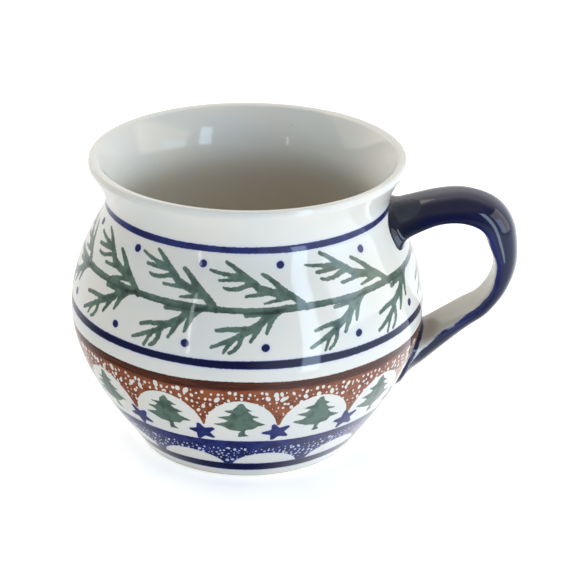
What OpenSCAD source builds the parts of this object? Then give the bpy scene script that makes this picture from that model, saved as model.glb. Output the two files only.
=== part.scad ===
// Polish stoneware mug: a round-bellied, slip-cast and glazed stoneware cup with a waisted neck,
// a flared rim, a recessed foot and one pulled strap handle, luted on with clay slip.
// Millimetres. The bowl's axis is Z, the foot stands on Z = 0, and the handle is towards +X.

/* [Bowl] */
// height from the table to the top of the lip
mug_height = 85; // [80:1:92]
// outside diameter of the flared rim
rim_d = 88.8; // [84:0.2:94]
// outside diameter of the waist under the rim
neck_d = 79.9; // [76:0.1:83]
// outside diameter of the belly
belly_d = 100.8; // [96:0.2:106]
// outside diameter of the foot where it leaves the table
foot_d = 63.8; // [59:0.2:67]
// height of the widest part of the belly
belly_z = 40.5; // [37:0.5:43]
// thickness of the wall
wall = 4; // [3.2:0.1:5]
// radius of the rounded lip
lip_r = 1.5; // [1.2:0.1:1.9]
// thickness of the floor above the foot recess
floor_t = 4.6; // [3.5:0.1:6]

/* [Foot] */
// width of the ring the mug stands on
foot_ring_w = 4.4; // [3.5:0.1:5.5]
// depth of the recess inside the foot ring
foot_recess = 2.4; // [1.6:0.1:3.2]
// rounding of the foot's outer edge
foot_edge = 0.8; // [0.5:0.1:1.2]

/* [Handle] */
// distance from the bowl's axis to the outside of the handle
handle_reach = 76.4; // [73:0.2:80]
// half of the strap's width along its middle
strap_half_w = 9.1; // [8:0.1:10]
// thickness of the strap over the top of the arch
strap_t = 7.7; // [7:0.1:8.5]
// depth of the rounding between the flat inner face and the strap's edges
strap_edge = 1.5; // [1:0.1:1.8]

/* [Slip joints] */
// how far the slip fillet spreads over the bowl
slip_spread = 1.6; // [1:0.1:2]
// how far the slip fillet climbs the strap
slip_climb = 3.4; // [2.5:0.1:4.5]

/* [View] */
// which sub-part to draw

/* [Hidden] */
$fn = 240;

glaze = [0.86, 0.87, 0.84];
cobalt = [0.16, 0.19, 0.40];

// slope of the wall where it runs into the lip, in degrees from upright
lip_lean = 32;
lip_z = mug_height - lip_r * (1 + sin(lip_lean));
lip_start_r = rim_d / 2 - lip_r * (1 - cos(lip_lean));

// outside wall as stations [height, radius, change of radius per mm of height]
shoulder_z = belly_z + 22.7;
neck_z = mug_height - 12.4;
shoulder_r = neck_d / 2 + 0.37 * (belly_d - neck_d) / 2;
stations = [
    [foot_edge, foot_d / 2, 0.71],
    [belly_z, belly_d / 2, 0],
    [shoulder_z, shoulder_r, -0.53],
    [neck_z, neck_d / 2, 0],
    [lip_z, lip_start_r, tan(lip_lean)]
];

// cubic curve from a to b with end slopes ma and mb over a span s, at the share t
function hermite(a, ma, b, mb, s, t) =
    a * (2 * t ^ 3 - 3 * t ^ 2 + 1) + ma * s * (t ^ 3 - 2 * t ^ 2 + t)
    + b * (3 * t ^ 2 - 2 * t ^ 3) + mb * s * (t ^ 3 - t ^ 2);

// slope of the same curve
function hermite_slope(a, ma, b, mb, s, t) =
    (a - b) / s * (6 * t ^ 2 - 6 * t) + ma * (3 * t ^ 2 - 4 * t + 1)
    + mb * (3 * t ^ 2 - 2 * t);

function span(i) = stations[i + 1][0] - stations[i][0];

// point [radius, height] of the outside wall on span i at the share t
function wall_point(i, t) = [
    hermite(stations[i][1], stations[i][2], stations[i + 1][1], stations[i + 1][2], span(i), t),
    stations[i][0] + t * span(i)
];

function wall_lean(i, t) = atan(hermite_slope(
    stations[i][1], stations[i][2], stations[i + 1][1], stations[i + 1][2], span(i), t));

// point of the inside wall, one wall thickness in along the wall's normal
function wall_inner(i, t) =
    let (p = wall_point(i, t), a = wall_lean(i, t), thin = i == 3 ? t * (wall - 2 * lip_r) : 0)
    [p[0] - (wall - thin) * cos(a), p[1] + (wall - thin) * sin(a)];

span_steps = [11, 7, 4, 5];
outer_wall = [for (i = [0:3]) for (k = [0:span_steps[i] - 1]) wall_point(i, k / span_steps[i])];
lip = [for (k = [0:8]) let (a = -lip_lean + k * 180 / 8)
    [rim_d / 2 - lip_r + lip_r * cos(a), mug_height - lip_r + lip_r * sin(a)]];
inner_wall = [for (i = [3:-1:0]) for (k = [span_steps[i] - 1:-1:0]) if (i > 0 || k > 1)
    wall_inner(i, k / span_steps[i])];

// the inside wall runs into the floor on a cubic curve and reaches the axis level
floor_z = foot_recess + floor_t;
floor_from = inner_wall[len(inner_wall) - 1];
function bezier(p, t) =
    p[0] * (1 - t) ^ 3 + 3 * p[1] * t * (1 - t) ^ 2 + 3 * p[2] * t ^ 2 * (1 - t) + p[3] * t ^ 3;
floor_curve = [
    floor_from,
    floor_from - (floor_from[1] - floor_z) * [0.78, 0.9],
    [floor_from[0] * 0.62, floor_z],
    [0, floor_z]
];
inner_floor = [for (k = [1:8]) bezier(floor_curve, k / 8)];

// underside: recess, rounded step and the ring the mug stands on
ring_in = foot_d / 2 - foot_ring_w;
recess_edge = 1;
underside = concat(
    [[0, foot_recess]],
    [for (k = [0:4]) let (a = 90 - k * 22.5)
        [ring_in - recess_edge + recess_edge * cos(a), foot_recess - recess_edge + recess_edge * sin(a)]],
    [[ring_in + 0.5, 0]],
    [for (k = [0:3]) let (a = -90 + k * 22.5)
        [foot_d / 2 - foot_edge + foot_edge * cos(a), foot_edge + foot_edge * sin(a)]]
);

// strap stations along its flat inner face, from the neck over the arch to the belly:
// [distance from the axis, height, thickness, half width]
strap_scale = (handle_reach - 40) / 36.4;
strap_lift = mug_height / 85;
strap_k = strap_t / 7.7;
strap_w = strap_half_w / 9.1;
strap = [for (s = [
    [36.0, 57.0, 10.5, 11.4],
    [42.8, 62.2, 9.9, 10.8],
    [47.7, 65.2, 8.7, 9.9],
    [53.7, 67.9, 7.4, 9.4],
    [60.4, 68.3, 7.7, 9.1],
    [65.3, 66.1, 8.5, 8.8],
    [67.7, 61.6, 8.4, 8.4],
    [69.6, 55.4, 6.8, 7.8],
    [68.9, 48.9, 5.4, 7.5],
    [65.8, 43.8, 4.9, 7.5],
    [61.3, 40.7, 5.5, 7.9],
    [55.3, 36.7, 6.4, 8.5],
    [49.6, 32.3, 7.0, 9.2],
    [44.0, 27.8, 7.2, 9.8],
    [38.2, 23.8, 7.3, 10.2],
    [34.0, 21.4, 7.3, 10.3]
]) [40 + (s[0] - 40) * strap_scale, s[1] * strap_lift, s[2] * strap_k, s[3] * strap_w]];
strap_last = len(strap) - 1;

function strap_at(i) = strap[max(0, min(strap_last, i))];

// smooth curve through the stations at u, where station i is at u = i
function strap_curve(u) =
    let (
        i = min(strap_last - 1, floor(u)), t = u - i,
        a = strap_at(i - 1), b = strap_at(i), c = strap_at(i + 1), d = strap_at(i + 2)
    )
    0.5 * (2 * b + (c - a) * t + (2 * a - 5 * b + 4 * c - d) * t ^ 2
        + (3 * b - a - 3 * c + d) * t ^ 3);

// direction along the strap in the XZ plane
function strap_dir(u) =
    let (a = strap_curve(max(0, u - 0.05)), b = strap_curve(min(strap_last, u + 0.05)),
        v = [b[0] - a[0], b[1] - a[1]])
    v / norm(v);

ring_n = 28;

// share of a half width or depth at the angle a, squarer as the power falls
function sector(x, power) = sign(x) * abs(x) ^ power;

// point k of the D-shaped section at u: domed outside, nearly flat inside; grow pushes it outwards
function strap_point(u, k, grow) =
    let (p = strap_curve(u), v = strap_dir(u), up = [-v[1], v[0]], a = 360 * k / ring_n,
        half_w = p[3] + grow, dome = p[2] - strap_edge + grow, flat = strap_edge + grow,
        y = half_w * sector(cos(a), sin(a) >= 0 ? 0.92 : 0.45),
        h = strap_edge + (sin(a) >= 0 ? dome * sector(sin(a), 0.95) : flat * sector(sin(a), 0.8)))
    [p[0] + up[0] * h, y, p[1] + up[1] * h];

// radius of the bowl's outside at the height z
function bowl_r(z) =
    let (i = z < belly_z ? 0 : z < shoulder_z ? 1 : z < neck_z ? 2 : 3)
    wall_point(i, (z - stations[i][0]) / span(i))[0];

// slip thickness at the distance d from the bowl: a concave fillet that dies out up the strap
function slip_grow(d) =
    slip_spread * max(0, 1 - max(0, d) / slip_climb) ^ 1.8 - 0.1 - 0.1 * max(0, d - slip_climb);

function slip_point(u, k) =
    let (p = strap_point(u, k, 0))
    strap_point(u, k, slip_grow(norm([p[0], p[1]]) - bowl_r(p[2])));

module skin(rings) {
    n = len(rings);
    polyhedron(
        points = [for (r = rings) for (p = r) p],
        faces = concat(
            [[for (k = [0:ring_n - 1]) k]],
            [for (j = [0:n - 2]) for (k = [0:ring_n - 1])
                let (k2 = (k + 1) % ring_n)
                [j * ring_n + k, (j + 1) * ring_n + k, (j + 1) * ring_n + k2, j * ring_n + k2]],
            [[for (k = [ring_n - 1:-1:0]) (n - 1) * ring_n + k]]
        )
    );
}

// everything inside the bowl's outer surface
module bowl_core() {
    rotate_extrude()
        polygon(concat([[0, 0]], outer_wall, lip, [[0, mug_height]]));
}

module strap_sweep(from, to, steps) {
    skin([for (j = [0:steps])
        [for (k = [0:ring_n - 1]) strap_point(from + (to - from) * j / steps, k, 0)]]);
}

// skirt of slip around the strap, thickest where the strap meets the bowl
module slip_sweep(from, to, steps) {
    skin([for (j = [0:steps])
        [for (k = [0:ring_n - 1]) slip_point(from + (to - from) * j / steps, k)]]);
}

module mug_body() {
    color(glaze)
        rotate_extrude()
            polygon(concat(outer_wall, lip, inner_wall, inner_floor, underside));
}

module handle() {
    color(cobalt)
        difference() {
            strap_sweep(0, strap_last, 3 * strap_last);
            bowl_core();
        }
}

module upper_slip_joint() {
    color(cobalt)
        difference() {
            slip_sweep(1, 2.75, 14);
            bowl_core();
            strap_sweep(0, 3, 9);
        }
}

module lower_slip_joint() {
    color(cobalt)
        difference() {
            slip_sweep(strap_last - 4, strap_last - 0.5, 18);
            bowl_core();
            strap_sweep(strap_last - 5, strap_last, 15);
        }
}

mug_body();
handle();
upper_slip_joint();
lower_slip_joint();
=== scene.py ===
"""Polish stoneware mug: a glazed bowl with a painted fir garland, scallops and trees, and a cobalt handle.

The bowl and the handle are swept from the same curves as part.scad, in millimetres, and built in metres.
The underglaze painting is held as signed distances on the vertices, in millimetres, negative inside the
paint, which the materials turn into hand-cut edges, brush tone and sponge specks.
"""
import math

import bpy
import numpy as np
from mathutils import Matrix, Vector


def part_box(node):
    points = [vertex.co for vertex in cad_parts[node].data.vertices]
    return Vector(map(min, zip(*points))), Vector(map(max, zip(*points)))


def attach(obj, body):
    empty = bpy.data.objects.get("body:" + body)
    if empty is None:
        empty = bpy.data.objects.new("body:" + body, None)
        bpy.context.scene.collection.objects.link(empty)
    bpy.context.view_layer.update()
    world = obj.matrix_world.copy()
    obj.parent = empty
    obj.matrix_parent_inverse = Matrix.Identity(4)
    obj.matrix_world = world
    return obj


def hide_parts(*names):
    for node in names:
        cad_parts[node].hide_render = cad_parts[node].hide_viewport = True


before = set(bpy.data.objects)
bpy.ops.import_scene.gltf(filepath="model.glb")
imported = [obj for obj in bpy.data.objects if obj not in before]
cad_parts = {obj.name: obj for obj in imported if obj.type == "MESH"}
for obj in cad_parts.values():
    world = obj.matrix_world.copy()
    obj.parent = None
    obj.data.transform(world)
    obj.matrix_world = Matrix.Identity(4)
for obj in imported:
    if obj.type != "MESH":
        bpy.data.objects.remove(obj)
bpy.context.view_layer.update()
rng = np.random.default_rng(7)
MM = 0.001

# ---------------------------------------------------------------- camera
CAMERA_AT = Vector((0.03465, -0.49546, 0.26739))
CAMERA_AIM = Vector((0.01156, 0.00054, 0.04393))
CAMERA_ROLL = math.radians(0.75)
LENS_MM = 118.6

cam_data = bpy.data.cameras.new("camera")
cam_data.lens = LENS_MM
cam_data.sensor_width = 36
cam_data.clip_start = 0.01
camera = bpy.data.objects.new("camera", cam_data)
look = (CAMERA_AIM - CAMERA_AT).to_track_quat("-Z", "Y").to_matrix().to_4x4()
camera.matrix_world = Matrix.Translation(CAMERA_AT) @ look @ Matrix.Rotation(CAMERA_ROLL, 4, "Z")
bpy.context.scene.collection.objects.link(camera)
bpy.context.scene.camera = camera

# ---------------------------------------------------------------- bowl profile, mm
mug_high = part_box("mug_body")[1]
HEIGHT = mug_high.z / MM
BELLY_R = mug_high.y / MM
RIM_R, NECK_R, FOOT_R = 44.4, 39.95, 31.9
BELLY_Z = 40.5
SHOULDER_Z = BELLY_Z + 22.7
NECK_Z = HEIGHT - 12.4
WALL, LIP_R, FLOOR_T = 4.0, 1.5, 4.6
FOOT_RING_W, FOOT_RECESS, FOOT_EDGE, RECESS_EDGE = 4.4, 2.4, 0.8, 1.0
LIP_LEAN = math.radians(32)
LIP_Z = HEIGHT - LIP_R * (1 + math.sin(LIP_LEAN))
STATIONS = (
    (FOOT_EDGE, FOOT_R, 0.71),
    (BELLY_Z, BELLY_R, 0.0),
    (SHOULDER_Z, NECK_R + 0.37 * (BELLY_R - NECK_R), -0.53),
    (NECK_Z, NECK_R, 0.0),
    (LIP_Z, RIM_R - LIP_R * (1 - math.cos(LIP_LEAN)), math.tan(LIP_LEAN)),
)


def wall_radius(z):
    """Radius of the outside wall at heights z, and its slope dR/dz."""
    z = np.asarray(z, float)
    r, slope = np.zeros_like(z), np.zeros_like(z)
    for i, ((z0, r0, m0), (z1, r1, m1)) in enumerate(zip(STATIONS[:-1], STATIONS[1:])):
        s = z1 - z0
        t = (z - z0) / s
        on = ((z >= z0) | (i == 0)) & ((z < z1) | (i == 3))
        r = np.where(on, r0 * (2 * t**3 - 3 * t**2 + 1) + m0 * s * (t**3 - 2 * t**2 + t)
                     + r1 * (3 * t**2 - 2 * t**3) + m1 * s * (t**3 - t**2), r)
        slope = np.where(on, (r0 - r1) / s * (6 * t**2 - 6 * t) + m0 * (3 * t**2 - 4 * t + 1)
                         + m1 * (3 * t**2 - 2 * t), slope)
    return r, slope


Z_FINE = np.linspace(FOOT_EDGE, LIP_Z, 4000)
R_FINE = wall_radius(Z_FINE)[0]
ARC_FINE = np.concatenate([[0], np.cumsum(np.hypot(np.diff(Z_FINE), np.diff(R_FINE)))])


def arc_at(z):
    """Length along the outside wall from the foot to height z."""
    return np.interp(z, Z_FINE, ARC_FINE)


def by_arc(z0, z1, step):
    """Heights from z0 up to z1, evenly spaced along the wall."""
    a, b = arc_at(z0), arc_at(z1)
    n = max(2, int(round((b - a) / step)))
    return np.interp(np.linspace(a, b, n + 1), ARC_FINE, Z_FINE)


# the painted wall is three pieces, which meet above the cobalt band and inside the dark line at the belly
BAND_SEAM_Z, SEAM_Z = 17.5, 43.9
PAINT_TOP_Z = 75.0
COLUMNS = 960
# length of a face up the wall: in the cobalt band, the belly, the shoulder, the bare rim and the inside
BAND_STEP, BELLY_STEP, SHOULDER_STEP, RIM_STEP, INNER_STEP = 0.28, 0.31, 0.42, 0.8, 1.5

# the glazed recess and its rounded step, the ring that stands on the table and the foot's rounded edge
underside = [(r, FOOT_RECESS) for r in (0, 5, 10, 15, 19)]
ring_in = FOOT_R - FOOT_RING_W
underside += [(ring_in - RECESS_EDGE * (1 - math.cos(a)), FOOT_RECESS - RECESS_EDGE * (1 - math.sin(a)))
              for a in np.linspace(math.pi / 2, 0, 7)]
underside += [(ring_in + 0.2, 0.6), (ring_in + 0.5, 0.08), (ring_in + 0.7, 0), (ring_in + 1.6, 0),
              (FOOT_R - FOOT_EDGE - 0.8, 0)]
underside += [(FOOT_R - FOOT_EDGE * (1 - math.cos(a)), FOOT_EDGE * (1 + math.sin(a)))
              for a in np.linspace(-math.pi / 2, -0.2, 7)]
band_z = by_arc(FOOT_EDGE, BAND_SEAM_Z, BAND_STEP)
belly_z = by_arc(BAND_SEAM_Z, SEAM_Z, BELLY_STEP)
upper_z = np.concatenate([by_arc(SEAM_Z, PAINT_TOP_Z, SHOULDER_STEP),
                          by_arc(PAINT_TOP_Z, LIP_Z, RIM_STEP)[1:]])
painted_z = np.concatenate([band_z, belly_z[1:], upper_z[1:]])

# the lip's crest lies nearer its outside than its inside, and the pieces meet on the lip at LIP_SEAM
LIP_CREST_R = RIM_R - 0.8
LIP_ROWS, LIP_SEAM = 20, 11
lip_in = (LIP_CREST_R - (RIM_R - LIP_R * (1 + math.cos(LIP_LEAN)))) / math.cos(LIP_LEAN)
lip = [(LIP_CREST_R + math.cos(a) * (RIM_R - LIP_CREST_R if a < math.pi / 2 else lip_in),
        HEIGHT - LIP_R + LIP_R * math.sin(a))
       for a in np.linspace(-LIP_LEAN, math.pi - LIP_LEAN, LIP_ROWS + 1)[1:]]

# the inside wall, down to where the curve of the floor takes over
INNER_FOOT_Z = 8.0
inner_z = np.concatenate([by_arc(BELLY_Z, LIP_Z, INNER_STEP)[::-1][1:],
                          by_arc(INNER_FOOT_Z, BELLY_Z, INNER_STEP)[::-1][1:]])
inner_r, inner_slope = wall_radius(inner_z)
lean = np.arctan(inner_slope)
thick = WALL - np.clip((inner_z - NECK_Z) / (LIP_Z - NECK_Z), 0, 1) * (WALL - 2 * LIP_R)
inner = np.stack([inner_r - thick * np.cos(lean), inner_z + thick * np.sin(lean)], 1)
floor_z = FOOT_RECESS + FLOOR_T
start = inner[-1]
drop = start[1] - floor_z
controls = [start, start - drop * np.array([0.78, 0.9]),
            np.array([start[0] * 0.62, floor_z]), np.array([0, floor_z])]
floor = [controls[0] * (1 - t)**3 + 3 * controls[1] * t * (1 - t)**2 + 3 * controls[2] * t**2 * (1 - t)
         + controls[3] * t**3 for t in np.linspace(0, 1, 25)[1:]]

outer = list(zip(wall_radius(painted_z)[0], painted_z))
profile = np.array(underside + outer + lip + [tuple(p) for p in (*inner, *floor)])
row_foot = len(underside)
row_band = row_foot + len(band_z) - 1
row_seam = row_band + len(belly_z) - 1
row_lip = row_foot + len(painted_z) - 1 + LIP_SEAM
PHI = np.linspace(-math.pi, math.pi, COLUMNS, endpoint=False)
# the unevenness of the wall, as a share of its radius
CAST_WANDER = 0.00035


def turned(points):
    """The profile turned round the axis, with the faint unevenness of a cast and sponged wall."""
    r, z = points[:, 0][:, None], points[:, 1][:, None]
    phi = PHI[None, :]
    uneven = (np.sin(2 * phi + 0.6) + 0.7 * np.sin(3 * phi + z * 0.05) + 0.5 * np.sin(5 * phi - z * 0.11)
              + 0.5 * np.sin(z * 0.42 + phi) + 0.3 * np.sin(z * 0.9 - 2 * phi + 1.0) - 3.0)
    r = r * (1 + CAST_WANDER * uneven * np.clip(r / 20, 0, 1) * np.clip(z / 6, 0, 1))
    return np.stack([r * np.cos(phi), r * np.sin(phi), np.broadcast_to(z, r.shape)], 2)


def grid_normals(p):
    """Unit normals of a grid of points whose columns close round."""
    along = np.roll(p, -1, 1) - np.roll(p, 1, 1)
    up = np.gradient(p, axis=0)
    n = np.cross(along, up)
    length = np.linalg.norm(n, axis=2, keepdims=True)
    poles = length[..., 0] < 1e-9
    n = n / np.maximum(length, 1e-12)
    for row in (0, -1):
        if poles[row].any():
            n[row] = n[1 if row == 0 else -2].mean(0)
            n[row] /= np.linalg.norm(n[row][0])
    return n


def add_piece(name, points, normals, fields, material, flip=False):
    """A mesh from a grid of points in mm, rows by columns, its columns closed round.

    A first or last row that lies on the axis becomes one vertex.
    """
    rows, cols = points.shape[:2]
    index = np.arange(rows * cols).reshape(rows, cols)
    keep = np.ones(rows * cols, bool)
    for i in (0, rows - 1):
        if np.ptp(points[i], axis=0).max() < 1e-6:
            keep[index[i, 1:]] = False
            index[i, :] = index[i, 0]
    beside = np.roll(index, -1, axis=1)
    faces = np.stack([index[:-1], beside[:-1], beside[1:], index[1:]], 2).reshape(-1, 4)
    renumber = np.cumsum(keep) - 1
    faces = renumber[faces]
    if flip:
        faces = faces[:, ::-1]
        normals = -normals
    verts = points.reshape(-1, 3)[keep] * MM
    polys = [[v for i, v in enumerate(quad) if v != quad[i - 1]] for quad in faces.tolist()]
    mesh = bpy.data.meshes.new(name)
    mesh.from_pydata(verts.tolist(), [], polys)
    for key, values in fields.items():
        layer = mesh.attributes.new(key, "FLOAT_VECTOR", "POINT")
        layer.data.foreach_set("vector", values.reshape(-1, 3)[keep].astype(np.float32).ravel())
    mesh.polygons.foreach_set("use_smooth", [True] * len(mesh.polygons))
    mesh.update()
    mesh.normals_split_custom_set_from_vertices(normals.reshape(-1, 3)[keep].tolist())
    mesh.materials.append(material)
    piece = bpy.data.objects.new(name, mesh)
    bpy.context.scene.collection.objects.link(piece)
    return piece


# ---------------------------------------------------------------- underglaze painting
# a distance that is clear of all paint
FAR = 9.0
# strokes that cross run into each other over this width
SOFT_JOIN = 0.35


class Painting:
    """Signed distances in mm to green, cobalt and russet paint and to sponge specks, and depth of tone."""

    def __init__(self, heights):
        self.z = np.asarray(heights)
        self.r = wall_radius(self.z)[0]
        self.arc = arc_at(self.z)
        shape = (len(self.z), COLUMNS)
        self.green = np.full(shape, FAR)
        self.cobalt = np.full(shape, FAR)
        self.russet = np.full(shape, FAR)
        self.sponge = np.full(shape, FAR)
        self.deep = np.zeros(shape)

    def patch(self, at_deg, at_z, left, right, below, above):
        """The vertices within reach of a point, and their millimetres u round the bowl and v up the wall."""
        v = self.arc - arc_at(at_z)
        rows = np.where((v > -below) & (v < above))[0]
        turn = (PHI - math.radians(at_deg) + math.pi) % math.tau - math.pi
        narrowest = self.r[rows].min()
        cols = np.where((turn > -left / narrowest) & (turn < right / narrowest))[0]
        u = turn[cols][None, :] * self.r[rows][:, None]
        return np.ix_(rows, cols), u, np.broadcast_to(v[rows][:, None], u.shape)

    def stroke(self, layer, at, path, deep=0.35):
        """A brush stroke: path is a list of (u, v, half width)."""
        where, u, v = at
        best = np.full(u.shape, FAR)
        for (x0, y0, w0), (x1, y1, w1) in zip(path[:-1], path[1:]):
            dx, dy = x1 - x0, y1 - y0
            t = np.clip(((u - x0) * dx + (v - y0) * dy) / (dx * dx + dy * dy), 0, 1)
            best = np.minimum(best, np.hypot(u - x0 - t * dx, v - y0 - t * dy) - (w0 + t * (w1 - w0)))
        before = layer[where]
        overlap = np.clip(-before / 0.5, 0, 1) * np.clip(-best / 0.5, 0, 1)
        self.deep[where] = np.clip(self.deep[where] + deep * overlap, 0, 1)
        near = np.clip(SOFT_JOIN - np.abs(before - best), 0, None) / SOFT_JOIN
        layer[where] = np.minimum(before, best) - near * near * SOFT_JOIN * 0.25

    def outline(self, layer, at, corners):
        """A filled shape inside the corners, a list of (u, v), and its distances."""
        where, u, v = at
        near = np.full(u.shape, FAR * FAR)
        inside = np.zeros(u.shape, bool)
        for (x0, y0), (x1, y1) in zip(corners, corners[1:] + corners[:1]):
            dx, dy = x1 - x0, y1 - y0
            t = np.clip(((u - x0) * dx + (v - y0) * dy) / (dx * dx + dy * dy), 0, 1)
            near = np.minimum(near, (u - x0 - t * dx)**2 + (v - y0 - t * dy)**2)
            crosses = (y0 > v) != (y1 > v)
            inside ^= crosses & (u < x0 + (v - y0) * dx / (dy if dy else 1e-9))
        sd = np.where(inside, -1, 1) * np.sqrt(near) - 0.12
        layer[where] = np.minimum(layer[where], sd)
        return sd

    def line(self, layer, at_z, width, wobble, phase):
        """A banding-wheel line round the bowl."""
        drift = wobble * (np.sin(PHI * 3 + phase) + 0.6 * np.sin(PHI * 7 + 2 * phase)
                          + 0.4 * np.sin(PHI * 17 + phase))
        v = self.arc[:, None] - arc_at(at_z) - drift[None, :]
        layer[:] = np.minimum(layer, np.abs(v) - width / 2 * (1 + 0.06 * np.sin(PHI * 5 + phase)[None, :]))

    def dab(self, low_z, high_z, gap, reach_at):
        """Sponge specks between two heights: a jittered lattice, with reach_at giving their size in mm."""
        low, high = arc_at(low_z), arc_at(high_z)
        rows = int((high - low) / (gap * 0.85))
        for j in range(rows):
            share = (j + 0.5) / rows
            around = math.tau * np.interp(low + share * (high - low), self.arc, self.r)
            count = int(around / gap)
            for i in range(count):
                turn = (i + 0.5 * (j % 2) + rng.uniform(-0.32, 0.32)) / count * 360
                up = low + (high - low) * share + rng.uniform(-0.3, 0.3) * gap
                where, u, v = self.patch(turn, np.interp(up, ARC_FINE, Z_FINE), 2.2, 2.2, 2.2, 2.2)
                reach = reach_at(share) * (rng.uniform(0.55, 1.25) if rng.random() < 0.9 else 1.7)
                tilt, stretch = rng.uniform(-0.6, 0.6), rng.uniform(1.0, 1.7)
                a, b = u * math.cos(tilt) + v * math.sin(tilt), v * math.cos(tilt) - u * math.sin(tilt)
                self.sponge[where] = np.minimum(self.sponge[where], np.hypot(a, b / stretch) - reach)

    def fields(self):
        """The distances and the tone as two vector attributes."""
        ink = np.stack([self.green, self.cobalt, self.russet], 2)
        tone = np.stack([self.deep, self.sponge, np.zeros_like(self.deep)], 2)
        return ink, tone


painting = Painting(painted_z)

# the fir garland: the strokes of one upper and one lower spray, as (u, v, half width) from where the spray
# leaves the stem
UPPER_SPRAY = [
    [(0.6, -0.6, 0.8), (-0.6, 1.0, 1.05), (-2.4, 2.6, 1.15), (-4.8, 4.6, 1.2), (-6.8, 7.1, 0.95),
     (-8.6, 8.9, 0.8), (-9.8, 9.8, 0.62)],
    [(-4.6, 3.6, 1.15), (-8.2, 4.7, 1.25), (-11.4, 6.1, 1.2), (-13.0, 7.9, 1.15), (-15.3, 10.4, 0.9),
     (-17.2, 12.2, 0.75), (-18.6, 13.2, 0.62)],
    [(-3.4, 2.8, 0.8), (-6.8, 2.5, 0.7), (-10.4, 2.1, 0.42)],
    [(-8.2, 4.7, 0.8), (-12.1, 4.5, 0.65), (-15.6, 4.4, 0.55)],
    [(-12.1, 7.4, 0.8), (-14.8, 6.9, 0.72), (-17.4, 6.1, 0.66), (-19.7, 6.0, 0.6), (-21.2, 6.4, 0.5)],
    [(-13.8, 8.7, 0.8), (-17.6, 8.4, 0.72), (-21.8, 8.2, 0.56)],
    [(-15.0, 9.3, 0.75), (-18.8, 9.9, 0.66), (-21.4, 10.4, 0.58), (-23.5, 11.1, 0.48)],
]
LOWER_SPRAY = [
    [(0.4, 0.2, 0.8), (-2.6, -1.0, 1.2), (-4.2, -3.0, 0.95), (-5.0, -4.9, 0.8), (-5.8, -6.8, 0.52)],
    [(-2.6, -1.0, 1.1), (-5.8, -2.4, 1.25), (-7.4, -4.2, 1.1), (-8.9, -6.8, 0.8), (-10.4, -9.0, 0.52)],
    [(-4.4, -1.2, 0.75), (-7.9, -1.35, 0.78), (-11.3, -1.6, 0.72)],
    [(-6.8, -3.6, 1.1), (-9.9, -5.2, 1.15), (-12.9, -6.8, 1.05)],
    [(-10.4, -5.4, 0.85), (-14.1, -5.8, 0.8), (-16.4, -6.0, 0.72), (-19.4, -6.7, 0.62)],
    [(-13.1, -7.4, 0.9), (-16.4, -9.0, 0.75), (-19.1, -10.4, 0.68), (-21.4, -11.5, 0.55)],
    [(-14.7, -8.0, 0.7), (-16.6, -10.1, 0.58), (-18.2, -12.4, 0.48)],
    [(-12.9, -7.5, 0.85), (-13.5, -9.8, 0.72), (-14.8, -11.5, 0.62), (-16.2, -12.3, 0.52)],
]
STEM_Z, STEM_HALF_W = 57.6, 0.90
# how far above STEM_Z the stem and the feet of its sprays lie
STEM_LIFT, SPRAY_LIFT = 0.7, 0.8
# where each spray leaves the stem, in degrees round the bowl
UPPER_AT = (-31, -67, -97, -126, -156, 174, 144, 113, 82, 51, 21)
LOWER_AT = (-16, -43, -73.5, -99.5, -127, -154.5, 178, 150.5, 123, 95, 67.5, 40, 12)
# height of the dots, and how far round they lie from their spray, in degrees
UPPER_DOT_Z, UPPER_DOT_TURN = 68.4, -6.6
LOWER_DOT_Z, LOWER_DOT_TURN = 48.8, -5.9
DOT_R = 1.08


def paint_stem():
    """The garland's stem, darker along its underside."""
    drift = 0.22 * (np.sin(PHI * 2 + 1) + 0.6 * np.sin(PHI * 5) + 0.3 * np.sin(PHI * 11 + 2))
    v = painting.arc[:, None] - arc_at(STEM_Z) - STEM_LIFT - drift[None, :]
    painting.green[:] = np.abs(v) - STEM_HALF_W - 0.08 * np.sin(PHI * 9)[None, :]
    painting.deep[:] = np.where(painting.green < 0.2, 0.5 * np.clip(0.45 - v / 1.3, 0, 1), 0)


def paint_spray(at, spray):
    """One spray, turned and sized a little at random, whose twigs sway more towards their tips."""
    tilt = math.radians(rng.uniform(-3, 3))
    size = rng.uniform(0.93, 1.02)
    across, along = math.cos(tilt), math.sin(tilt)
    for n, path in enumerate(spray):
        sway = rng.uniform(-0.45, 0.45, 2) * (n > 1)
        load = rng.uniform(0.76, 0.94)
        placed = []
        for k, (x, y, w) in enumerate(path):
            far = k / (len(path) - 1)
            x, y = x * size + sway[0] * far, y * size + sway[1] * far
            placed.append((x * across - y * along, x * along + y * across + SPRAY_LIFT, w * load))
        painting.stroke(painting.green, at, placed)


def paint_dot(at_deg, z):
    """One cobalt dot, a little out of place and of its own depth of tone."""
    turn, lift = rng.uniform(-1.2, 1.2), rng.uniform(-0.4, 0.4)
    at = painting.patch(at_deg + turn, z + lift, 4, 4, 4, 4)
    wide = DOT_R * rng.uniform(0.95, 1.08)
    painting.stroke(painting.cobalt, at, [(-0.06, 0, wide), (0.06, 0.05, wide)], deep=0)
    where = at[0]
    tone = rng.uniform(0.1, 0.7) * (painting.cobalt[where] < 0.1)
    painting.deep[where] = np.maximum(painting.deep[where], tone)


paint_stem()
for at_deg in UPPER_AT:
    paint_spray(painting.patch(at_deg, STEM_Z, left=30, right=5, below=3, above=18), UPPER_SPRAY)
    paint_dot(at_deg + UPPER_DOT_TURN, UPPER_DOT_Z)
for at_deg in LOWER_AT:
    paint_spray(painting.patch(at_deg, STEM_Z, left=30, right=5, below=18, above=4), LOWER_SPRAY)
    paint_dot(at_deg + LOWER_DOT_TURN, LOWER_DOT_Z)

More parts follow.
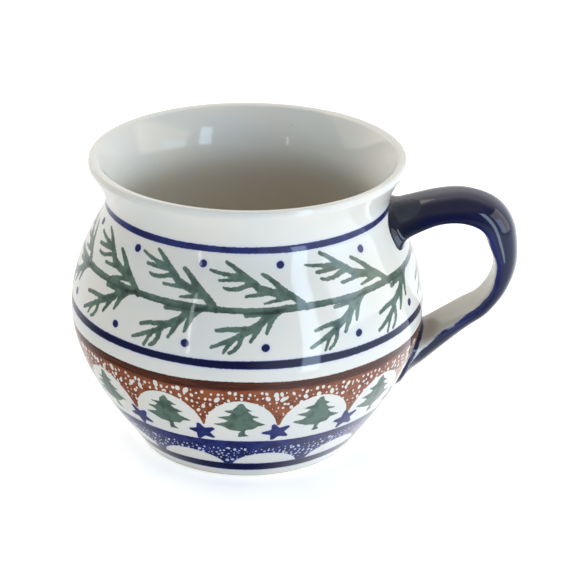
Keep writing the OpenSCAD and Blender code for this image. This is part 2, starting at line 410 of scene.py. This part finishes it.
# the three lines: height, width, wobble, phase, reach of the darker core and its depth of tone
NECK_LINE = (72.4, 1.95, 0.05, 0.4, 1.0, 0.15)
BELLY_LINE = (44.0, 2.3, 0.06, 1.9, 1.5, 1.0)
FOOT_LINE = (4.75, 4.0, 0.05, 3.1, 1.4, 0.9)
LINES = (NECK_LINE, BELLY_LINE, FOOT_LINE)
for line_z, width, wobble, phase, _, _ in LINES:
    painting.line(painting.cobalt, line_z, width, wobble, phase)
for line_z, _, _, _, reach, most in LINES:
    core = np.clip(1.6 - np.abs(painting.arc - arc_at(line_z)) / reach, 0, most)[:, None]
    painting.deep[:] = np.where(painting.cobalt < 0.1, np.maximum(painting.deep, core), painting.deep)

# russet sponge band with scallops, each over one fir tree, and a star under each point
SCALLOPS = 14
SCALLOP_FIRST, SCALLOP_PITCH = -101.0, 360 / SCALLOPS
RUSSET_TOP_Z, DARK_BAND_Z = 38.9, 36.3
POINT_Z = 23.6
SCALLOP_R = 9.95
TREE = [(-0.4, 9.6), (0.4, 9.5), (1.4, 8.0), (3.2, 7.0), (1.7, 6.7), (2.8, 5.4), (5.1, 4.5), (3.0, 4.1),
        (4.2, 2.7), (7.0, 1.3), (4.8, 0.8), (3.4, -0.7), (1.3, -1.2), (1.3, -2.8), (2.1, -4.2),
        (-0.2, -4.4), (0.0, -2.9), (0.1, -1.5), (-2.6, -1.3), (-4.7, -0.1), (-6.9, 0.9), (-4.3, 1.7),
        (-3.2, 2.7), (-6.0, 3.9), (-3.4, 4.5), (-2.2, 5.6), (-4.3, 6.4), (-1.9, 6.9), (-1.2, 8.2)]
STAR_Z, STAR_R, STAR_NOTCH_R = 20.6, 3.85, 1.95
STAR_TURN = 110
# wander of the bands' top edges
BAND_DRIFT = 0.12 * (np.sin(PHI * 3 + 0.5) + np.sin(PHI * 8 + 1.5))


def above(z, drift=0.0):
    """Millimetres up the wall from height z, less a drift that varies round the bowl."""
    return painting.arc[:, None] - arc_at(z) - drift


def paint_tree(at_deg):
    """One fir tree, with its corners a little out of place."""
    at = painting.patch(at_deg, POINT_Z - 0.4, left=9, right=9, below=7, above=12)
    tilt = math.radians(rng.uniform(-2.5, 2.5))
    size = rng.uniform(0.96, 1.02)
    corners = []
    for x, y in TREE:
        x, y = x * size + rng.uniform(-0.25, 0.25), y * size + rng.uniform(-0.2, 0.2)
        corners.append((x * math.cos(tilt) - y * math.sin(tilt), x * math.sin(tilt) + y * math.cos(tilt)))
    tree = painting.outline(painting.green, at, corners)
    where, u, v = at
    # a darker streak down the trunk
    streak_u, streak_w = rng.uniform(-2.5, 2.5), rng.uniform(0.8, 1.6)
    shade = (np.clip(1 - np.abs(u - streak_u) / streak_w, 0, 1) * np.clip((v + 1.5) / 3, 0, 1)
             * np.clip(-tree, 0, 1))
    painting.deep[where] = np.maximum(painting.deep[where], rng.uniform(0.1, 0.75) * shade)


def paint_star(at_deg):
    """One five-pointed star with blunt points."""
    turn, lift = rng.uniform(-1, 1), rng.uniform(-0.3, 0.3)
    at = painting.patch(at_deg + turn, STAR_Z + lift, 7, 7, 7, 7)
    turn = math.radians(STAR_TURN + rng.uniform(-8, 8))
    corners = []
    for i in range(5):
        a = turn + i * math.tau / 5
        reach = STAR_R * rng.uniform(0.93, 1.08)
        for da, r in ((-0.09, reach), (0.09, reach), (math.tau / 10, STAR_NOTCH_R)):
            corners.append((r * math.cos(a + da), r * math.sin(a + da)))
    painting.outline(painting.cobalt, at, corners)


white = np.full(painting.russet.shape, FAR)
for k in range(SCALLOPS):
    middle = SCALLOP_FIRST + SCALLOP_PITCH * (k + 0.5) + rng.uniform(-0.5, 0.5)
    where, u, v = painting.patch(middle, POINT_Z, left=13, right=13, below=4, above=18)
    radius = SCALLOP_R * rng.uniform(0.985, 1.01)
    white[where] = np.minimum(white[where], np.hypot(u * rng.uniform(0.98, 1.02), v) - radius)
    paint_tree(middle + rng.uniform(-0.6, 0.6))
    paint_star(SCALLOP_FIRST + SCALLOP_PITCH * k)
band = np.maximum(above(RUSSET_TOP_Z, BAND_DRIFT), -above(POINT_Z))
painting.russet[:] = np.maximum(band, -white)
# a darker band along the top, with a soft wavy edge
dark = np.clip(above(DARK_BAND_Z) / 0.5 + 0.5 + 0.18 * np.sin(PHI * 6), 0, 1)
painting.deep[:] = np.where(painting.russet < 0.3, np.maximum(painting.deep, dark), painting.deep)
painting.dab(POINT_Z + 2.6, DARK_BAND_Z - 0.4, 1.75, lambda share: 0.22 + 0.20 * share)

# cobalt sponge band with low scallops that rest on the bottom line
ARCHES = 11
ARCH_FIRST, ARCH_PITCH = -94.8, 360 / ARCHES
COBALT_TOP_Z, COBALT_FOOT_Z = 17.1, 5.6
ARCH_HALF_W, ARCH_RISE = 9.1, 6.9
white = np.full(painting.cobalt.shape, FAR)
for k in range(ARCHES):
    middle = ARCH_FIRST + ARCH_PITCH * (k + 0.5) + rng.uniform(-0.8, 0.8)
    where, u, v = painting.patch(middle, COBALT_FOOT_Z, left=14, right=14, below=3, above=11)
    wide, tall = ARCH_HALF_W * rng.uniform(0.97, 1.02), ARCH_RISE * rng.uniform(0.95, 1.05)
    reach = np.hypot(u / wide, v / tall) + 1e-6
    steep = np.hypot(u / wide**2, v / tall**2) / reach + 1e-6
    white[where] = np.minimum(white[where], (reach - 1) / steep)
band = np.maximum(above(COBALT_TOP_Z, 0.8 * BAND_DRIFT), -above(COBALT_FOOT_Z))
painting.cobalt[:] = np.minimum(painting.cobalt, np.maximum(band, -white))
painting.dab(7.6, COBALT_TOP_Z - 3.0, 1.5, lambda share: 0.30 - 0.06 * share)

# ---------------------------------------------------------------- materials
GLAZE_IOR = 1.46
BUMP_DEPTH = 0.4 * MM


class Nodes:
    """Short names for the shader nodes of one material."""

    def __init__(self, name):
        self.mat = bpy.data.materials.new(name)
        self.mat.use_nodes = True
        self.tree = self.mat.node_tree
        self.shader = self.tree.nodes["Principled BSDF"]

    def node(self, kind, **settings):
        n = self.tree.nodes.new("ShaderNode" + kind)
        for key, value in settings.items():
            setattr(n, key, value)
        return n

    def put(self, value, socket):
        """Feed a socket from another socket, or set it to a constant."""
        if isinstance(value, bpy.types.NodeSocket):
            self.tree.links.new(value, socket)
        else:
            socket.default_value = value

    def math(self, operation, *values):
        n = self.node("Math", operation=operation)
        for value, socket in zip(values, n.inputs):
            self.put(value, socket)
        return n.outputs[0]

    def smooth(self, value, low, high, to_low=0.0, to_high=1.0):
        """A smooth step from to_low, where the value is low, to to_high, where it is high."""
        n = self.node("MapRange", interpolation_type="SMOOTHSTEP")
        for v, socket in zip((value, low, high, to_low, to_high), n.inputs):
            self.put(v, socket)
        return n.outputs[0]

    def mix(self, share, a, b):
        """Colour a, with this share of colour b."""
        n = self.node("Mix", data_type="RGBA", clamp_factor=True)
        self.put(share, n.inputs[0])
        for value, socket in ((a, n.inputs[6]), (b, n.inputs[7])):
            self.put(value if isinstance(value, bpy.types.NodeSocket) else (*value, 1.0), socket)
        return n.outputs[2]

    def attribute(self, name):
        """The three numbers of a vector attribute."""
        n = self.node("Attribute", attribute_name=name)
        split = self.node("SeparateXYZ")
        self.put(n.outputs["Vector"], split.inputs[0])
        return split.outputs

    def place(self, stretch=(1.0, 1.0, 1.0)):
        """Object coordinates in millimetres, stretched."""
        n = self.node("VectorMath", operation="MULTIPLY")
        self.put(self.node("TexCoord").outputs["Object"], n.inputs[0])
        n.inputs[1].default_value = [s / MM for s in stretch]
        return n.outputs[0]

    def noise(self, where, scale, detail=2.0, rough=0.5):
        n = self.node("TexNoise")
        self.put(where, n.inputs["Vector"])
        for key, value in (("Scale", scale), ("Detail", detail), ("Roughness", rough)):
            n.inputs[key].default_value = value
        return n.outputs["Fac"]

    def cells(self, where, scale):
        """Distance to the nearest seed, and three random numbers of its cell."""
        n = self.node("TexVoronoi")
        self.put(where, n.inputs["Vector"])
        n.inputs["Scale"].default_value = scale
        split = self.node("SeparateColor")
        self.put(n.outputs["Color"], split.inputs[0])
        return n.outputs["Distance"], split.outputs

    def finish(self, colour, roughness, height, strength=0.25):
        """Join up the shader of a glaze, with its bump."""
        self.put(colour, self.shader.inputs["Base Color"])
        self.put(roughness, self.shader.inputs["Roughness"])
        self.shader.inputs["IOR"].default_value = GLAZE_IOR
        bump = self.node("Bump")
        bump.inputs["Strength"].default_value = strength
        bump.inputs["Distance"].default_value = BUMP_DEPTH
        self.put(height, bump.inputs["Height"])
        self.put(bump.outputs[0], self.shader.inputs["Normal"])
        return self.mat


GLAZE_WARM, GLAZE_COOL = (0.70, 0.69, 0.645), (0.665, 0.685, 0.665)
GREEN_THIN, GREEN_FULL, GREEN_DEEP = (0.090, 0.150, 0.118), (0.046, 0.084, 0.067), (0.010, 0.026, 0.021)
COBALT_THIN, COBALT_FULL, COBALT_DEEP = (0.027, 0.037, 0.155), (0.018, 0.022, 0.088), (0.006, 0.008, 0.038)
RUSSET_THIN, RUSSET_FULL, RUSSET_DEEP = (0.275, 0.088, 0.040), (0.160, 0.048, 0.024), (0.060, 0.021, 0.014)
IRON_SPECK, PINHOLE = (0.16, 0.12, 0.08), (0.36, 0.36, 0.34)
COBALT_HALO, COBALT_SPECK = (0.36, 0.42, 0.70), (0.54, 0.59, 0.76)
# painted shade: the darker, warmer cream that the inside of the mug turns to further down
INSIDE_PAINTED_SHADE = (0.62, 0.555, 0.45)
CLAY_DARK, CLAY_LIGHT = (0.50, 0.44, 0.36), (0.62, 0.57, 0.49)
# painted shade: the first colour darkens the handle's bare glaze, whose inner face lies in shade
HANDLE_PAINTED_SHADE, HANDLE_HALO = (0.50, 0.47, 0.39), (0.40, 0.45, 0.72)
HANDLE_COBALT, HANDLE_POOLED = (0.005, 0.006, 0.040), (0.010, 0.014, 0.020)


def bare_glaze(g):
    """Creamy clear glaze over a white body: cloudy, with a few iron specks and pinholes and a faint roll."""
    cloud = g.noise(g.place((0.06, 0.06, 0.09)), 1.0, 3.0)
    colour = g.mix(g.smooth(cloud, 0.35, 0.65), GLAZE_WARM, GLAZE_COOL)
    near, random = g.cells(g.place(), 0.16)
    dot = g.math("MULTIPLY", g.smooth(near, 0.035, 0.02), g.smooth(random[0], 0.62, 0.66))
    colour = g.mix(g.math("MULTIPLY", dot, 0.75), colour, IRON_SPECK)
    near, random = g.cells(g.place(), 0.5)
    pin = g.math("MULTIPLY", g.smooth(near, 0.07, 0.03), g.smooth(random[1], 0.8, 0.84))
    colour = g.mix(g.math("MULTIPLY", pin, 0.30), colour, PINHOLE)
    roll = g.math("ADD", g.noise(g.place((0.05, 0.05, 0.16)), 1.0, 1.0),
                  g.math("MULTIPLY", g.noise(g.place(), 0.45, 2.0), 0.10))
    height = g.math("SUBTRACT", roll, g.math("MULTIPLY", pin, 0.12))
    roughness = g.smooth(g.noise(g.place(), 0.9, 3.0), 0.3, 0.8, 0.045, 0.11)
    return colour, roughness, height


def painted_glaze():
    """Green, cobalt and russet underglaze, thin and full by turns, over the bare glaze."""
    g = Nodes("painted_glaze")
    colour, roughness, height = bare_glaze(g)
    green, cobalt, russet = g.attribute("ink")
    deep, sponge, _ = g.attribute("tone")
    ragged = g.math("MULTIPLY", g.math("SUBTRACT", g.noise(g.place(), 1.15, 2.5), 0.5), 0.55)
    streak = g.noise(g.place((0.10, 0.10, 1.5)), 1.0, 2.0)
    pool = g.noise(g.place(), 0.30, 2.0)

    # cobalt bleeds a little into the glaze round it
    halo = g.math("MULTIPLY", g.smooth(cobalt, 1.1, 0.0), 0.20)
    colour = g.mix(halo, colour, COBALT_HALO)

    # sponge specks left open in the russet and the cobalt
    specks = g.smooth(g.math("ADD", sponge, g.math("MULTIPLY", ragged, 0.45)), 0.06, -0.04)
    specks = g.math("MULTIPLY", specks, g.smooth(deep, 0.6, 0.2))

    load = g.math("ADD", g.math("MULTIPLY", pool, 0.7), g.math("MULTIPLY", streak, 0.4))
    paint = g.mix(g.smooth(load, 0.42, 0.72), RUSSET_THIN, RUSSET_FULL)
    paint = g.mix(g.math("MULTIPLY", deep, g.smooth(streak, 0.25, 0.6, 0.72, 1.0)), paint, RUSSET_DEEP)
    mask = g.smooth(g.math("ADD", russet, g.math("MULTIPLY", ragged, 0.6)), 0.10, -0.10)
    mask = g.math("MULTIPLY", mask, g.math("SUBTRACT", 1.0, g.math("MULTIPLY", specks, 0.95)))
    colour = g.mix(mask, colour, paint)

    edge = g.smooth(green, -0.75, -0.05)
    paint = g.mix(g.smooth(pool, 0.40, 0.66), GREEN_THIN, GREEN_FULL)
    paint = g.mix(g.math("MULTIPLY", edge, 0.30), paint, GREEN_THIN)
    paint = g.mix(g.smooth(deep, 0.05, 0.9), paint, GREEN_DEEP)
    mask = g.smooth(g.math("ADD", green, g.math("MULTIPLY", ragged, 1.0)), 0.12, -0.12)
    colour = g.mix(g.math("MULTIPLY", mask, 0.97), colour, paint)

    edge = g.smooth(cobalt, -0.65, 0.0)
    paint = g.mix(g.smooth(pool, 0.35, 0.65), COBALT_THIN, COBALT_FULL)
    paint = g.mix(g.math("MULTIPLY", edge, 0.6), paint, COBALT_THIN)
    paint = g.mix(g.math("MULTIPLY", deep, g.smooth(edge, 1.0, 0.3)), paint, COBALT_DEEP)
    paint = g.mix(g.math("MULTIPLY", specks, 0.88), paint, COBALT_SPECK)
    mask = g.smooth(g.math("ADD", cobalt, g.math("MULTIPLY", ragged, 0.5)), 0.10, -0.10)
    colour = g.mix(mask, colour, paint)
    return g.finish(colour, roughness, height)


def inside_glaze():
    """The bare glaze, with painted shade: darker, warmer cream deeper down inside."""
    g = Nodes("inside_glaze")
    colour, roughness, height = bare_glaze(g)
    split = g.node("SeparateXYZ")
    g.put(g.place(), split.inputs[0])
    # painted shade: the inside grows darker and warmer from 4 mm below the rim to 50 mm below it
    painted_shade = g.smooth(split.outputs[2], HEIGHT - 4, HEIGHT - 50, 0.0, 0.85)
    colour = g.mix(painted_shade, colour, INSIDE_PAINTED_SHADE)
    return g.finish(colour, roughness, height)


def foot_glaze():
    """The glazed recess, and the bare fired clay of the ring the mug stands on."""
    g = Nodes("foot_glaze_and_bare_clay")
    colour, roughness, height = bare_glaze(g)
    split = g.node("SeparateXYZ")
    g.put(g.place(), split.inputs[0])
    grain = g.noise(g.place(), 3.0, 4.0, 0.65)
    wander = g.math("MULTIPLY", g.math("SUBTRACT", grain, 0.5), 0.35)
    bare = g.smooth(g.math("ADD", split.outputs[2], wander), 0.62, 0.42)
    clay = g.mix(g.smooth(grain, 0.3, 0.7), CLAY_DARK, CLAY_LIGHT)
    colour = g.mix(bare, colour, clay)
    roughness = g.math("ADD", roughness, g.math("MULTIPLY", bare, 0.62))
    height = g.math("ADD", height, g.math("MULTIPLY", g.math("MULTIPLY", bare, grain), 0.5))
    return g.finish(colour, roughness, height)


def handle_glaze():
    """Dark brushed cobalt, bluer where it thins towards its edges and nearly black at the joints, over bare
    glaze darkened with painted shade.
    """
    g = Nodes("handle_cobalt_glaze")
    colour, roughness, height = bare_glaze(g)
    # painted shade: the handle's bare glaze is darkened most of the way to a shaded cream
    colour = g.mix(0.8, colour, HANDLE_PAINTED_SHADE)
    cobalt, off, _ = g.attribute("ink")
    ragged = g.math("MULTIPLY", g.math("SUBTRACT", g.noise(g.place(), 0.8, 3.0), 0.5), 0.6)
    patchy = g.noise(g.place(), 0.16, 3.0)
    halo = g.math("MULTIPLY", g.smooth(cobalt, 1.4, 0.0), 0.22)
    colour = g.mix(halo, colour, HANDLE_HALO)
    paint = g.mix(g.smooth(patchy, 0.30, 0.55), HANDLE_COBALT, COBALT_DEEP)
    paint = g.mix(g.smooth(g.math("ADD", cobalt, ragged), -2.2, -0.1, 0.0, 0.9), paint, COBALT_THIN)
    off = g.math("ADD", off, g.math("MULTIPLY", ragged, 2.0))
    paint = g.mix(g.math("MULTIPLY", g.smooth(off, 12.0, 5.0), 0.6), paint, HANDLE_POOLED)
    mask = g.smooth(g.math("ADD", cobalt, ragged), 0.22, -0.22)
    colour = g.mix(mask, colour, paint)
    return g.finish(colour, roughness, height, strength=0.3)


# ---------------------------------------------------------------- the bowl's pieces
bowl = turned(profile)
bowl_n = grid_normals(bowl)
ink, tone = painting.fields()
painted_rows = slice(row_foot, row_foot + len(painted_z))
full_ink = np.full((len(profile), COLUMNS, 3), FAR)
full_tone = np.tile([0.0, FAR, 0.0], (len(profile), COLUMNS, 1))
full_ink[painted_rows] = ink
full_tone[painted_rows] = tone


def bowl_piece(name, first, last, material, painted=True):
    """The part of the bowl between two rows of its profile."""
    rows = slice(first, last + 1)
    fields = {"ink": full_ink[rows], "tone": full_tone[rows]} if painted else {}
    piece = add_piece(name, bowl[rows], bowl_n[rows], fields, material)
    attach(piece, "root")
    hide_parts("mug_body")


paint_mat = painted_glaze()
inside_mat = inside_glaze()
bowl_piece("bowl_foot", 0, row_foot, foot_glaze(), painted=False)
bowl_piece("bowl_cobalt_band", row_foot, row_band, paint_mat)
bowl_piece("bowl_belly", row_band, row_seam, paint_mat)
bowl_piece("bowl_shoulder_and_rim", row_seam, row_lip, paint_mat)
bowl_piece("bowl_inside", row_lip, len(profile) - 1, inside_mat, painted=False)

# ---------------------------------------------------------------- the handle and its slip fillets
# the strap's stations, along its flat inner face: distance from the axis, height, thickness, half width
STRAP = np.array([
    (36.0, 57.0, 10.5, 11.4), (42.8, 62.2, 9.9, 10.8), (47.7, 65.2, 8.7, 9.9), (53.7, 67.9, 7.4, 9.4),
    (60.4, 68.3, 7.7, 9.1), (65.3, 66.1, 8.5, 8.8), (67.7, 61.6, 8.4, 8.4), (69.6, 55.4, 6.8, 7.8),
    (68.9, 48.9, 5.4, 7.5), (65.8, 43.8, 4.9, 7.5), (61.3, 40.7, 5.5, 7.9), (55.3, 36.7, 6.4, 8.5),
    (49.6, 32.3, 7.0, 9.2), (44.0, 27.8, 7.2, 9.8), (38.2, 23.8, 7.3, 10.2), (34.0, 21.4, 7.3, 10.3),
])
STRAP_EDGE = 1.5
# half width and dome of a middling section
MIDDLING_W, MIDDLING_DOME = 8, 5.2
SLIP_SPREAD, SLIP_CLIMB = 1.6, 3.4
STRAP_LAST = len(STRAP) - 1


def strap_curve(u):
    """Catmull-Rom curve through the strap's stations, where station i is at u = i."""
    i = np.minimum(np.floor(u).astype(int), STRAP_LAST - 1)
    t = (u - i)[..., None]
    a, b, c, d = (STRAP[np.clip(i + k, 0, STRAP_LAST)] for k in (-1, 0, 1, 2))
    return 0.5 * (2 * b + (c - a) * t + (2 * a - 5 * b + 4 * c - d) * t**2
                  + (3 * b - a - 3 * c + d) * t**3)


def section(count):
    """Shares (across, outwards) of the D-shaped section, evenly spaced round a middling section."""
    a = np.linspace(0, math.tau, 2881)
    dome = np.sin(a) >= 0
    across = np.sign(np.cos(a)) * np.abs(np.cos(a))**np.where(dome, 0.92, 0.45)
    out = np.sign(np.sin(a)) * np.abs(np.sin(a))**np.where(dome, 0.95, 0.8)
    x, y = across * MIDDLING_W, out * np.where(dome, MIDDLING_DOME, STRAP_EDGE)
    length = np.concatenate([[0], np.cumsum(np.hypot(np.diff(x), np.diff(y)))])
    at = np.linspace(0, length[-1], count, endpoint=False)
    return np.interp(at, length, across), np.interp(at, length, out)


RING = 112
ACROSS, OUT = section(RING)


def strap_points(u, grow=0.0):
    """Points of the strap's skin for a grid of u (rows by RING), pushed out by grow."""
    p = strap_curve(u)
    ahead, behind = strap_curve(np.minimum(u + 0.05, STRAP_LAST)), strap_curve(np.maximum(u - 0.05, 0))
    v = (ahead - behind)[..., :2]
    v = v / np.linalg.norm(v, axis=-1, keepdims=True)
    y = ACROSS * (p[..., 3] + grow)
    h = STRAP_EDGE + OUT * np.where(OUT >= 0, p[..., 2] - STRAP_EDGE + grow, STRAP_EDGE + grow)
    return np.stack([p[..., 0] - v[..., 1] * h, y, p[..., 1] + v[..., 0] * h], -1)


def off_bowl(p):
    """How far points lie outside the bowl's wall, level with it."""
    return np.hypot(p[..., 0], p[..., 1]) - wall_radius(p[..., 2])[0]


def where_off(distance, low, high):
    """For each point of the section, the u from low to high where the strap is that far off the bowl."""
    low, high = np.full(RING, float(low)), np.full(RING, float(high))
    for _ in range(40):
        middle = (low + high) / 2
        inside = off_bowl(strap_points(middle[None, :]))[0] < distance
        low, high = np.where(inside, middle, low), np.where(inside, high, middle)
    return (low + high) / 2


MID_U = 7.0
ROOT_DEPTH = -1.6
top_root, top_end = where_off(ROOT_DEPTH, 0.3, MID_U), where_off(SLIP_CLIMB, 0.3, MID_U)
foot_root = where_off(ROOT_DEPTH, STRAP_LAST - 0.1, MID_U)
foot_end = where_off(SLIP_CLIMB, STRAP_LAST - 0.1, MID_U)


def slip_grow(p):
    """Thickness of the slip: a concave fillet that dies out up the strap."""
    d = off_bowl(p)
    return SLIP_SPREAD * np.clip(1 - np.clip(d, 0, None) / SLIP_CLIMB, 0, 1)**2.3


def ramp(a, b, n):
    """n rows from the values a to the values b."""
    t = np.linspace(0, 1, n)[:, None]
    return a[None, :] * (1 - t) + b[None, :] * t


SLIP_ROWS, STRAP_ROWS = 16, 210
slip_top_u = ramp(top_root, top_end, SLIP_ROWS)
strap_u = ramp(top_end, foot_end, STRAP_ROWS)
slip_foot_u = ramp(foot_end, foot_root, SLIP_ROWS)
skin_u = np.concatenate([slip_top_u, strap_u[1:], slip_foot_u[1:]])
skin = strap_points(skin_u)
skin = strap_points(skin_u, slip_grow(skin))
uneven = 0.05 * np.sin(skin_u * 2.1 + 1) + 0.05 * np.sin(skin_u * 3.7 + ACROSS * 2) - 0.08
skin_n = grid_normals(skin)
# the middle of the dome, half way along, faces away from the bowl
if skin_n[len(skin) // 2, RING // 4, 0] < 0:
    skin_n = -skin_n
skin = skin + skin_n * (uneven * np.clip(off_bowl(skin) / SLIP_CLIMB, 0, 1))[..., None]

# paint on the handle: cobalt on the dome and the strap's edges, bare glaze on the flat inner face and,
# towards the belly, a little way up the sides, and a brushed line round the joints
DOME_RISE = 6.0
JOINT_LINE = 1.1
# where the bare glaze begins at each u, in mm from the strap's edge: below 0 on the flat face, above 0 up
# a side
BARE_U = (4.6, 5.3, 6.4, 7.6, 9.5, 11, 13.5)
BARE_MM = (-1.8, -0.6, -0.3, -1.1, -1.0, -0.1, 1.7)
brush = 0.5 * np.sin(skin_u * 2.3) + 0.3 * np.sin(skin_u * 5.1 + 1.3) + 0.12 * np.sin(skin_u * 11.0)
from_edge = np.where(OUT > 0, OUT * DOME_RISE, (np.abs(ACROSS) - 1) * strap_curve(skin_u)[..., 3])
bare_to = np.interp(skin_u, BARE_U, BARE_MM)
bare_to += 0.4 * brush * np.sign(ACROSS)
bare_to = np.where(ACROSS > 0, np.maximum(bare_to, -0.3), bare_to)
near_joint = off_bowl(skin) - JOINT_LINE - 0.3 * brush
skin_ink = np.full(skin.shape, FAR)
skin_ink[..., 0] = np.minimum(bare_to - from_edge, near_joint)
skin_ink[..., 1] = off_bowl(skin)
handle_mat = handle_glaze()


def handle_piece(name, rows, node):
    """The part of the handle's skin in these rows."""
    piece = add_piece(name, skin[rows], skin_n[rows], {"ink": skin_ink[rows]}, handle_mat, flip=True)
    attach(piece, "root")
    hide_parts(node)


handle_piece("upper_slip_fillet", slice(0, SLIP_ROWS), "upper_slip_joint")
handle_piece("handle_strap", slice(SLIP_ROWS - 1, SLIP_ROWS + STRAP_ROWS - 1), "handle")
handle_piece("lower_slip_fillet", slice(SLIP_ROWS + STRAP_ROWS - 2, len(skin)), "lower_slip_joint")

# ---------------------------------------------------------------- floor and light


def flat_card(name, width, depth, material):
    """A level rectangle about the origin, in metres."""
    mesh = bpy.data.meshes.new(name)
    x, y = width / 2, depth / 2
    mesh.from_pydata([(-x, -y, 0), (x, -y, 0), (x, y, 0), (-x, y, 0)], [], [(0, 1, 2, 3)])
    mesh.materials.append(material)
    card = bpy.data.objects.new(name, mesh)
    bpy.context.scene.collection.objects.link(card)
    return card


FLOOR_SIDE = 8
# the floor lies just under the ring, so that the two don't share a plane
FLOOR_DROP = 0.00002
paper = Nodes("studio_paper")
paper.shader.inputs["Base Color"].default_value = (0.92, 0.92, 0.92, 1)
paper.shader.inputs["Roughness"].default_value = 0.9
paper.shader.inputs["Specular IOR Level"].default_value = 0.1
paper.shader.inputs["Emission Color"].default_value = (0.97, 0.98, 1.0, 1)
paper.shader.inputs["Emission Strength"].default_value = 0.45
studio_floor = flat_card("studio_floor", FLOOR_SIDE, FLOOR_SIDE, paper.mat)
studio_floor.location.z = -FLOOR_DROP
# the glaze mirrors the tent below the table's edge, not the paper
studio_floor.visible_glossy = False


def window_light(name, at, aim, width, height, power, colour):
    """A rectangular area light at a point, turned towards another."""
    data = bpy.data.lights.new(name, "AREA")
    data.shape = "RECTANGLE"
    data.size, data.size_y = width, height
    data.energy = power
    data.color = colour
    light = bpy.data.objects.new(name, data)
    at, aim = Vector(at), Vector(aim)
    light.matrix_world = Matrix.Translation(at) @ (aim - at).to_track_quat("-Z", "Y").to_matrix().to_4x4()
    bpy.context.scene.collection.objects.link(light)


# a plain white wall round the stage, which only the camera sees
STUDIO_RADIUS, STUDIO_HEIGHT, SIDES = 3.9, 6.0, 64
turns = np.linspace(0, math.tau, SIDES, endpoint=False)
ring = [(STUDIO_RADIUS * math.cos(a), STUDIO_RADIUS * math.sin(a)) for a in turns]
wall_mesh = bpy.data.meshes.new("studio_wall")
wall_mesh.from_pydata([(x, y, z) for z in (0, STUDIO_HEIGHT) for x, y in ring], [],
                      [(i, (i + 1) % SIDES, SIDES + (i + 1) % SIDES, SIDES + i) for i in range(SIDES)])
chalk = Nodes("studio_wall_white")
chalk.shader.inputs["Base Color"].default_value = (0, 0, 0, 1)
chalk.shader.inputs["Specular IOR Level"].default_value = 0
chalk.shader.inputs["Emission Color"].default_value = (1.0, 1.0, 1.0, 1)
chalk.shader.inputs["Emission Strength"].default_value = 1.0
wall_mesh.materials.append(chalk.mat)
studio_wall = bpy.data.objects.new("studio_wall", wall_mesh)
bpy.context.scene.collection.objects.link(studio_wall)
studio_wall.visible_diffuse = studio_wall.visible_glossy = studio_wall.visible_shadow = False
studio_wall.visible_transmission = False

# the soft tent that lights the mug: patches that fade over ramps of the direction's x, y or z, each ramp
# given as (axis, no light here, full light here)
FRONT, BACK = (1, -0.1, -0.9), (1, 0.1, 0.9)
LEFT, RIGHT = (0, -0.1, -0.9), (0, 0.1, 0.9)
LOW, HIGH, NOT_OVERHEAD = (2, 0.75, 0.25), (2, 0.2, 0.6), (2, 0.98, 0.8)
TENT = (
    ((FRONT, LOW), (0.05, 0.07, 0.10)),
    ((BACK, LOW), (0.9, 0.9, 0.9)),
    ((LEFT, LOW), (0.1, 0.1, 0.1)),
    ((RIGHT, LOW), (0.5, 0.6, 0.7)),
    # overhead
    (((2, 0.45, 0.95),), (0.5, 0.45, 0.4)),
    # high up in front, and high up at the back
    (((1, 0, -0.5), HIGH, NOT_OVERHEAD), (0.15, 0.12, 0.1)),
    (((1, 0, 0.5), HIGH, NOT_OVERHEAD), (0.9, 0.85, 0.8)),
    # from below on the handle's side
    (((0, 0, 0.35), (2, 0, -0.2)), (0.6, 0.6, 0.6)),
)
world = bpy.data.worlds.new("studio")
world.use_nodes = True
tent, join = world.node_tree.nodes, world.node_tree.links.new
towards = tent.new("ShaderNodeSeparateXYZ")
join(tent.new("ShaderNodeTexCoord").outputs["Generated"], towards.inputs[0])


def tent_patch(ramps, colour):
    """One patch of the tent: its colour, scaled by each of its ramps."""
    patch = tent.new("ShaderNodeCombineXYZ")
    for value, socket in zip(colour, patch.inputs):
        socket.default_value = value
    light = patch.outputs[0]
    for axis, dark, full in ramps:
        ramp_node = tent.new("ShaderNodeMapRange")
        ramp_node.interpolation_type = "SMOOTHSTEP"
        join(towards.outputs[axis], ramp_node.inputs[0])
        ramp_node.inputs[1].default_value, ramp_node.inputs[2].default_value = dark, full
        scale = tent.new("ShaderNodeVectorMath")
        scale.operation = "SCALE"
        join(light, scale.inputs[0])
        join(ramp_node.outputs[0], scale.inputs["Scale"])
        light = scale.outputs[0]
    return light


glow = tent_patch(*TENT[0])
for ramps, colour in TENT[1:]:
    add = tent.new("ShaderNodeVectorMath")
    join(glow, add.inputs[0])
    join(tent_patch(ramps, colour), add.inputs[1])
    glow = add.outputs[0]
join(glow, tent["Background"].inputs[0])
tent["Background"].inputs[1].default_value = 1.0
bpy.context.scene.world = world

# the lights, in metres and watts
MUG_MIDDLE = (0, 0, 0.05)
window_light("window_front_right", (0.8, -0.85, 0.3), (0, 0, 0.3), 0.24, 1.5, 7.0, (0.6, 0.8, 1.0))
window_light("window_left", (-0.62, -1.0, 0.22), MUG_MIDDLE, 0.04, 0.75, 0.6, (0.9, 0.95, 1.0))
window_light("curtain_right", (1.15, -0.05, 0.45), MUG_MIDDLE, 1.1, 0.9, 6.0, (1.0, 0.9, 0.75))
window_light("curtain_left", (-1.1, 0.6, 1.1), MUG_MIDDLE, 1.8, 1.3, 12.0, (1.0, 0.95, 0.85))
window_light("sky_right", (1.2, -0.35, 0.3), MUG_MIDDLE, 0.5, 0.6, 2.0, (0.3, 0.6, 1.0))
window_light("sky_left", (-1.0, -0.55, 0.9), MUG_MIDDLE, 0.9, 0.9, 1.5, (0.4, 0.75, 1.0))
bpy.context.scene.view_settings.view_transform = "Standard"
bpy.context.scene.view_settings.look = "None"
